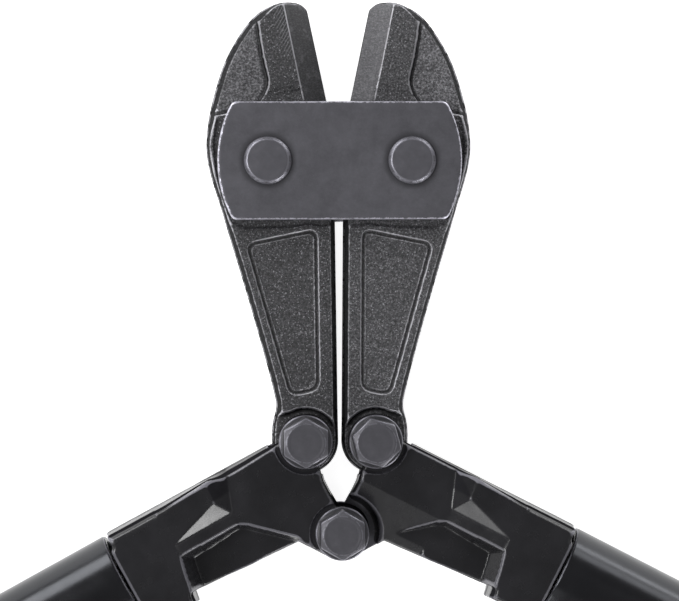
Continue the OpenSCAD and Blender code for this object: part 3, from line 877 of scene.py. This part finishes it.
class Finish:
    """A procedural material, built by short calls, in the object's own millimetres"""

    def __init__(self, name, blue=1.12):
        self.blue = blue
        self.material = bpy.data.materials.new(name)
        self.material.use_nodes = True
        self.tree = self.material.node_tree
        self.shader = self.tree.nodes["Principled BSDF"]
        place = self.add("TexCoord").outputs["Object"]
        self.place = self.add("VectorMath", [place], operation="SCALE", Scale=1000.0).outputs[0]
        self.x, self.y, self.z = self.add("SeparateXYZ", [self.place]).outputs

    def add(self, kind, inputs=(), **settings):
        node = self.tree.nodes.new("ShaderNode" + kind)
        for key, value in settings.items():
            if key in node.inputs:
                self.give(node.inputs[key], value)
            else:
                setattr(node, key, value)
        for number, value in enumerate(inputs):
            self.give(node.inputs[number], value)
        return node

    def give(self, socket, value):
        if isinstance(value, bpy.types.NodeSocket):
            self.tree.links.new(value, socket)
        else:
            socket.default_value = value

    def value(self, name):
        """A vertex value of the piece"""
        return self.add("Attribute", attribute_name=name).outputs["Fac"]

    def calc(self, operation, *values):
        return self.add("Math", values, operation=operation).outputs[0]

    def times(self, first, *others):
        for other in others:
            first = self.calc("MULTIPLY", first, other)
        return first

    plus = partialmethod(calc, "ADD")
    minus = partialmethod(calc, "SUBTRACT")
    greater = partialmethod(calc, "MAXIMUM")
    absolute = partialmethod(calc, "ABSOLUTE")

    def across(self, x, y):
        """Distance from the upright axis where x and y are 0"""
        return self.calc("SQRT", self.plus(self.times(x, x), self.times(y, y)))

    def step(self, value, low, high):
        """A smooth step from 0 at low to 1 at high"""
        node = self.add("MapRange", [value, low, high, 0.0, 1.0], interpolation_type="SMOOTHSTEP")
        return node.outputs[0]

    def noise(self, size, detail=3.0, rough=0.6, place=None):
        """Noise between 0 and 1 whose features are about this many millimetres across"""
        where = [place or self.place]
        node = self.add("TexNoise", where, Scale=1 / size, Detail=detail, Roughness=rough)
        return node.outputs["Fac"]

    def scratches(self, rough, scale, turn):
        """Noise stretched into fine lines at a slant, from its scale along x and y"""
        scale, turn = (*scale, 1), (0, 0, turn)
        place = self.add("Mapping", [self.place], Scale=scale, Rotation=turn).outputs[0]
        return self.noise(0.5, 3, rough, place)

    def worn(self, start, end, size=1.0, ragged=0.2):
        """How far an outer edge has lost its finish, in uneven patches of about this size"""
        uneven = self.times(self.minus(self.noise(size, 4, 0.7), 0.5), ragged)
        return self.step(self.plus(self.value("bend"), uneven), start, end)

    def tint(self, grey):
        """A grey value with this finish's cast"""
        return (grey, grey * (1 - (self.blue - 1) / 8), grey * self.blue, 1.0)

    def shades(self, value, *stops, lift=1):
        """Colours from (place, grey) stops, with their greys raised by a factor"""
        ramp = self.add("ValToRGB", [value])
        elements = ramp.color_ramp.elements
        while len(elements) < len(stops):
            elements.new(0.5)
        for element, (place, grey) in zip(elements, stops):
            element.position = place
            element.color = self.tint(grey * lift)
        return ramp.outputs[0]

    def mix(self, part, a, b):
        """From colour a to colour b, which are sockets or greys"""
        node = self.add("Mix", data_type="RGBA", Factor=part)
        for socket, value in zip(node.inputs[6:8], (a, b)):
            self.give(socket, self.tint(value) if isinstance(value, (int, float)) else value)
        return node.outputs[2]

    def marked(self, shade, *marks):
        """The shade with (where, strength, colour or grey) marks laid over it in turn"""
        for where, strength, mark in marks:
            shade = self.mix(self.times(where, strength), shade, mark)
        return shade

    def blend(self, part, a, b):
        """From value a to value b"""
        return self.add("Mix", data_type="FLOAT", Factor=part, A=a, B=b).outputs[0]

    def bump(self, height, millimetres):
        return self.add("Bump", Distance=millimetres * 0.001, Height=height).outputs[0]

    def finish(self, **sockets):
        for name, value in sockets.items():
            self.give(self.shader.inputs[name.replace("_", " ")], value)
        return self.material


# -------- the jaws' steel

def oxide_shade(f, grain, lift):
    """Black oxide over a forging: bright grain, pale flecks, and a paler panel beside the blade"""
    shade = f.shades(grain, (0.36, 0.012), (0.5, 0.05), (0.6, 0.09), (0.72, 0.28), lift=lift)
    flecks = f.step(f.noise(0.45, 2, 0.5), 0.62, 0.7)
    side_panel = f.times(f.step(f.absolute(f.z), 5.75, 5.5), f.step(f.y, BLADE_FOOT - 1, BLADE_FOOT + 1))
    panel_shade = f.shades(grain, (0.4, 0.06), (0.5, 0.15), (0.6, 0.33), (0.72, 0.6))
    marks = (f.noise(9, 3), 0.4, 0.05), (flecks, 0.75, 0.42), (side_panel, 0.5, panel_shade)
    return f.marked(shade, *marks)


def ground_shade(f, scratches, lift):
    """Ground steel with scratches across it and paler patches"""
    # The lift raises the ground face far more than the oxide: on the right jaw this is painted light, for a bevel
    # that faces the key light from the left
    shade = f.shades(scratches, (0.3, 0.045), (0.55, 0.085), (0.75, 0.17), lift=0.8 * lift ** 1.8)
    return f.marked(shade, (f.step(f.noise(3.5, 5, 0.7), 0.52, 0.7), 0.4, 0.22))


def hatched(f, shade, on_face, from_line):
    """The shade with slanting tool marks in a dark strip beside the bevel's line"""
    slant = f.minus(f.times(f.y, 0.66), f.times(f.x, 0.75))
    slant = f.plus(slant, f.times(f.noise(2.5), 0.5))
    stripe = f.step(f.calc("SINE", f.times(slant, 2 * math.pi / HATCH_PITCH)), 0.45, 0.95)
    beside = f.times(f.step(from_line, -4.2, -1.8), f.step(from_line, 0.0, -0.2))
    beside = f.times(beside, f.step(f.y, 26, 34), on_face)
    return f.marked(shade, (beside, 0.4, 0.03), (f.times(stripe, beside), 0.55, 0.26))


def rubbed_edges(f, ground):
    """Where outer edges are worn bright, less so on the blade's outer wall and on the ground bevel"""
    blade_wall = f.times(f.step(f.y, 13, 15), f.step(f.x, -11, -13), f.step(f.x, -19, -17.5))
    chipped = f.blend(ground, 1.0, f.times(f.step(f.noise(7, 2), 0.55, 0.66), 0.5))
    return f.times(f.worn(0.2, 0.32, 0.9, 0.26), chipped, f.blend(blade_wall, 1.0, 0.65))


def parting_line(f, ground):
    """Rubbed line where the flash was trimmed off, above and below the middle of the walls"""
    flash = f.step(f.absolute(f.minus(f.absolute(f.z), 1.5)), 0.42, 0.2)
    broken = f.step(f.noise(2.2, 4, 0.7), 0.4, 0.54)
    return f.times(flash, broken, f.blend(ground, 0.8, 0.0))


def forged_steel(name, with_hatching, lift):
    """Black oxide over a forging, with ground bevels, edges worn to bare steel, and painted shade on steep walls
    and in hollows
    """
    f = Finish(name, blue=1.06)
    grain, fine = f.noise(0.6, 4, 0.7), f.noise(0.3, 2, 0.6)
    scratches = f.scratches(0.7, (0.25, 1.2), 0.5)
    ground, painted_wall_shade = f.value("ground"), f.value("painted_wall_shade")
    shade = f.mix(ground, oxide_shade(f, grain, lift), ground_shade(f, scratches, lift))
    # Painted shade: steep walls are darkened here, and below they lose their metal and most of their reflection
    shade = f.marked(shade, (painted_wall_shade, 0.85, 0.008))

    # Thin bright line where the bevel meets the blade's face
    on_face = f.times(f.step(f.y, BLADE_FOOT, BLADE_FOOT + 2), f.step(f.absolute(f.z), 5.6, 5.9))
    from_line = f.minus(f.x, BEVEL_LINE)
    line = f.minus(1.0, f.step(f.absolute(from_line), 0.1, 0.26))
    line = f.times(line, on_face, f.step(f.noise(1.5, 4, 0.7), 0.3, 0.42))
    if with_hatching:
        shade = hatched(f, shade, on_face, from_line)

    # Painted shade in the hollows, and bright worn places, among them the painted highlight lines on the tail's
    # panel
    hollow_shade = f.step(f.value("bend"), -0.06, -0.28)
    worn = f.greater(rubbed_edges(f, ground), f.greater(line, parting_line(f, ground)))
    height = f.plus(grain, f.times(fine, 0.5))
    height = f.blend(ground, height, f.times(scratches, 0.35))
    return f.finish(
        Base_Color=f.marked(shade, (hollow_shade, 0.7, 0.012), (worn, 0.9, 0.5)),
        Roughness=f.blend(worn, f.blend(ground, 0.58, 0.42), 0.38),
        Metallic=f.blend(worn, f.blend(painted_wall_shade, 0.3, 0.0), 0.9),
        Specular_IOR_Level=f.blend(painted_wall_shade, 0.5, 0.02),
        Normal=f.bump(height, 0.16),
    )


# -------- the other finishes

def plate_steel():
    """Flat dark steel with faint handling marks, a painted shadow around the rivets and bright broken edges"""
    f = Finish("plate_steel")
    fine = f.noise(0.4, 3, 0.7)
    scratch = f.scratches(0.6, (0.1, 1.6), 0.6)
    shade = f.shades(f.noise(7, 6, 0.75), (0.3, 0.08), (0.5, 0.1), (0.7, 0.122))
    marks = (f.step(fine, 0.6, 0.75), 0.3, 0.2), (f.step(scratch, 0.66, 0.78), 0.25, 0.2)
    # Painted shadow: a soft dark ring on the plate around each rivet head
    from_rivet = f.across(f.minus(f.absolute(f.x), RIVET_X), f.y)
    worn = f.worn(0.18, 0.26, 1.0, 0.34)
    return f.finish(
        Base_Color=f.marked(shade, *marks, (f.step(from_rivet, 9.2, 7.2), 0.6, 0.02), (worn, 0.95, 0.62)),
        Roughness=f.blend(worn, 0.5, 0.4),
        Metallic=f.blend(worn, 0.35, 0.8),
        Normal=f.bump(f.plus(f.times(fine, 0.6), f.times(scratch, 0.4)), 0.03),
    )


def bolt_steel(name, circle, width, lift):
    """Dark phosphated steel, satin, with a light line around the end face at the given radius, and painted shade
    on the flange and in the hollows
    """
    f = Finish(name)
    fine = f.noise(0.3, 3, 0.7)
    shade = f.shades(f.noise(4, 4, 0.6), (0.3, 0.084), (0.6, 0.104), (0.8, 0.128), lift=lift)
    # Painted shade in the hollows
    hollow_shade = f.step(f.value("bend"), -0.04, -0.2)
    # Painted shade: the flange around the foot of the hex is darkened
    flange = f.times(f.step(f.z, 2.1, 1.5), f.step(f.z, -0.3, 0.0))
    from_line = f.absolute(f.minus(f.across(f.x, f.y), circle))
    broken = f.step(f.noise(1.3, 3, 0.6), 0.38, 0.55)
    line = f.times(f.step(from_line, width, width / 3), broken, f.step(f.z, 4.5, 5.0))
    worn = f.greater(f.worn(0.17, 0.3, 0.8, 0.2), line)
    marks = (f.step(fine, 0.6, 0.75), 0.25, 0.18), (hollow_shade, 0.8, 0.015), (flange, 0.65, 0.02)
    return f.finish(
        Base_Color=f.marked(shade, *marks, (worn, 0.55, 0.34)),
        Roughness=0.42,
        Metallic=f.blend(worn, 0.4, 0.85),
        Normal=f.bump(fine, 0.03),
    )


def head_paint():
    """Semi-gloss black paint that follows the forging under it, with paler edges, most on its lower side: partly
    worn paint, partly painted highlight for the paint's gloss
    """
    f = Finish("head_paint")
    shade = f.shades(f.noise(14, 4, 0.6), (0.35, 0.013), (0.65, 0.02))
    # Paler edges, stronger on the lower side: partly worn paint, partly painted highlight
    wear_and_sheen = f.blend(f.step(f.y, -1, -2.5), 0.4, 0.75)
    return f.finish(
        Base_Color=f.marked(shade, (f.worn(0.17, 0.3, 1.2, 0.16), wear_and_sheen, 0.27)),
        Roughness=f.shades(f.noise(5, 4, 0.6), (0.3, 0.2), (0.7, 0.3)),
        # Painted shade: the marked walls and facet get no reflection
        Specular_IOR_Level=f.blend(f.value("painted_wall_shade"), 0.5, 0.0),
        Normal=f.bump(f.noise(1.3, 3, 0.55), 0.03),
    )


def tube_paint():
    """Deep gloss black over drawn tube, almost flat, with a faint orange peel"""
    f = Finish("tube_paint")
    shade = f.shades(f.noise(20, 3, 0.6), (0.3, 0.007), (0.7, 0.011))
    return f.finish(
        Base_Color=f.marked(shade, (f.worn(0.35, 0.55, 0.8, 0.3), 0.7, 0.3)),
        Roughness=f.shades(f.noise(6, 4, 0.6), (0.3, 0.2), (0.7, 0.26)),
        Specular_Tint=(0.9, 0.93, 1.0, 1.0),
        Normal=f.bump(f.noise(2.2, 2, 0.5), 0.01),
    )


def washer_zinc():
    """Dull zinc, slightly uneven"""
    f = Finish("washer_zinc")
    fine = f.noise(0.3, 3, 0.7)
    return f.finish(
        Base_Color=f.shades(f.noise(3, 4, 0.6), (0.3, 0.24), (0.7, 0.34)),
        Roughness=f.shades(fine, (0.3, 0.36), (0.7, 0.5)),
        Metallic=0.9,
        Normal=f.bump(fine, 0.02),
    )


def grip_rubber():
    """Black moulded rubber with a fine leather-like grain and pale dust"""
    f = Finish("grip_rubber")
    grain = f.add("TexVoronoi", [f.place], Scale=1 / 0.9).outputs["Distance"]
    dust = f.step(f.noise(1.6, 5, 0.75), 0.6, 0.8)
    shade = f.shades(f.noise(11, 4, 0.6), (0.3, 0.014), (0.7, 0.02))
    return f.finish(
        Base_Color=f.marked(shade, (dust, 0.3, 0.06)),
        Roughness=f.blend(dust, 0.55, 0.75),
        Normal=f.bump(grain, 0.12),
    )


def cap_plastic():
    """Black moulded plastic, satin, with rubbed edges"""
    f = Finish("cap_plastic")
    cloud = f.noise(8, 4, 0.6)
    shade = f.shades(cloud, (0.3, 0.012), (0.7, 0.018))
    return f.finish(
        Base_Color=f.marked(shade, (f.worn(0.35, 0.6, 1, 0.4), 0.4, 0.06)),
        Roughness=f.shades(cloud, (0.3, 0.36), (0.7, 0.46)),
        Normal=f.bump(f.noise(0.5, 3, 0.6), 0.03),
    )


# -------- camera, lights and floor

VIEW_DISTANCE = 0.700  # from the camera to what it aims at, in metres
VIEW_WIDTH = 0.2037  # how much it sees there, in metres
VIEW_LEAN = math.radians(2.2)
VIEW_ROLL = math.radians(0.236)
VIEW_AIM = Vector((-0.00018, 0.06905, MID * 0.001))
SENSOR = 36.0
FLOOR_REACH = 6.0
FLOOR_DROP = 0.0002  # from the part's lowest face down to the floor, in metres
FLOOR_GLOW = 0.85


def camera():
    data = bpy.data.cameras.new("camera")
    data.sensor_width = SENSOR
    data.lens = SENSOR * VIEW_DISTANCE / VIEW_WIDTH
    data.clip_start = 0.01
    back = Vector((-math.sin(VIEW_LEAN), 0, math.cos(VIEW_LEAN)))
    up = Vector((math.sin(VIEW_ROLL), math.cos(VIEW_ROLL), 0))
    right = up.cross(back).normalized()
    up = back.cross(right)
    turn = Matrix((right, up, back)).transposed().to_4x4()
    place = Matrix.Translation(VIEW_AIM + back * VIEW_DISTANCE)
    bpy.context.scene.camera = placed("camera", data, place @ turn)


def softbox(name, place, size, power):
    """A rectangular light that faces the middle of the view"""
    data = bpy.data.lights.new(name, "AREA")
    data.shape = "RECTANGLE"
    data.size, data.size_y = size
    data.energy = power
    way = Vector(place) - VIEW_AIM
    turn = way.to_track_quat("Z", "Y").to_matrix().to_4x4()
    placed(name, data, Matrix.Translation(place) @ turn)


def studio():
    world = bpy.data.worlds.new("studio")
    bpy.context.scene.world = world
    world.use_nodes = True
    world.node_tree.nodes["Background"].inputs["Color"].default_value = (0.15, 0.15, 0.15, 1)
    softbox("key_left", (-0.9, 0.1, 0.93), (0.55, 0.55), 8.4)
    softbox("fill_right", (0.75, 0.0, 1.0), (0.5, 0.5), 0.4)
    softbox("fill_front", (-0.5, -0.9, 0.95), (0.55, 0.55), 0.6)
    softbox("back_left", (-0.73, 0.98, 0.53), (0.7, 0.6), 7.9)
    softbox("back_right_low", (0.79, 1.06, 0.15), (0.7, 0.24), 3.2)
    softbox("back_right_high", (0.72, 0.98, 0.55), (0.7, 0.35), 2.5)
    softbox("front_left", (-0.745, -1.05, 0.42), (0.6, 0.5), 3.1)
    softbox("front_right", (0.745, -1.05, 0.42), (0.6, 0.5), 9.0)


def floor():
    """White floor: it glows for the camera, reflections and clear things, and lights nothing else"""
    f = Finish("floor")
    mesh = bpy.data.meshes.new("floor")
    ends = (-FLOOR_REACH, FLOOR_REACH)
    mesh.from_pydata([(x, y, -FLOOR_DROP) for x in ends for y in ends], [], [(0, 2, 3, 1)])
    made = placed("floor", mesh, Matrix())
    rays = f.add("LightPath").outputs
    seen = f.greater(rays["Is Camera Ray"], rays["Is Glossy Ray"])
    seen = f.greater(seen, rays["Is Transmission Ray"])
    mesh.materials.append(f.finish(
        Base_Color=(0.8, 0.8, 0.8, 1),
        Roughness=0.8,
        Emission_Color=(1, 1, 1, 1),
        Emission_Strength=f.times(seen, FLOOR_GLOW),
    ))


# -------- the scene

camera()
studio()
floor()

# The right jaw's greater lift makes it paler than the left jaw; on its ground bevel, which faces the key light,
# this paleness is painted light
jaws([forged_steel("left_forged_steel", True, 0.98), forged_steel("right_forged_steel", False, 1.43)])
handle_heads(head_paint())
fishplates(plate_steel())
rivets(bolt_steel("rivet_steel", 6.5, 0.55, 1.15))
fasteners(bolt_steel("bolt_steel", 5.7, 0.25, 1.0), washer_zinc())
handles(tube_paint(), grip_rubber(), cap_plastic())

bpy.context.scene.view_settings.view_transform = "Standard"
